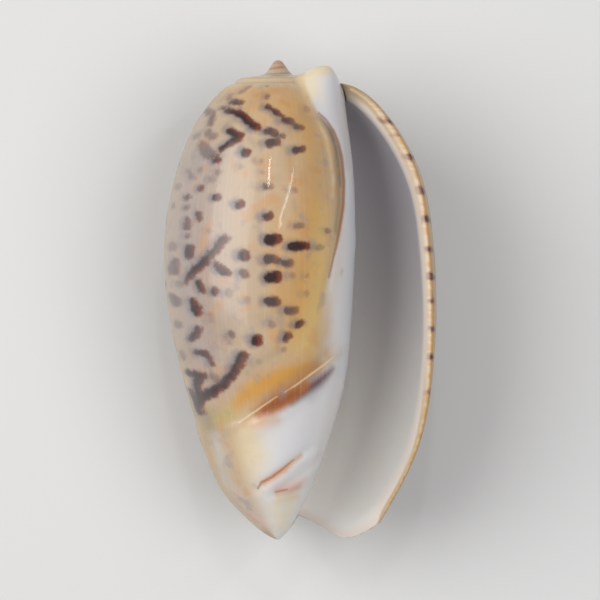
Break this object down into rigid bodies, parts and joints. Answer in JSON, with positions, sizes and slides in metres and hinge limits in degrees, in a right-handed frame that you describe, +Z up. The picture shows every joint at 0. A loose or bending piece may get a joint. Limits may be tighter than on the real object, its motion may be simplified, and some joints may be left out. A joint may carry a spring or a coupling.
{
  "type": "olive shell",
  "caption": "Polished olive shell: a long inflated scroll with a short pointed spire, a wide slot-like opening and a pale pillar.",
  "frame": {"origin": "middle of the shell's outline, level with the surface it lies on", "axes": "+Y towards the spire, along the axis that the shell winds round; +X towards the lip; +Z up, out of the opening"},
  "size_m": [0.0272, 0.048, 0.0225],
  "materials": {
    "shell": "glossy, patterned outside and plain pale inside"
  },
  "bodies": {
    "root": {"shell": "shell"}
  },
  "joints": []
}
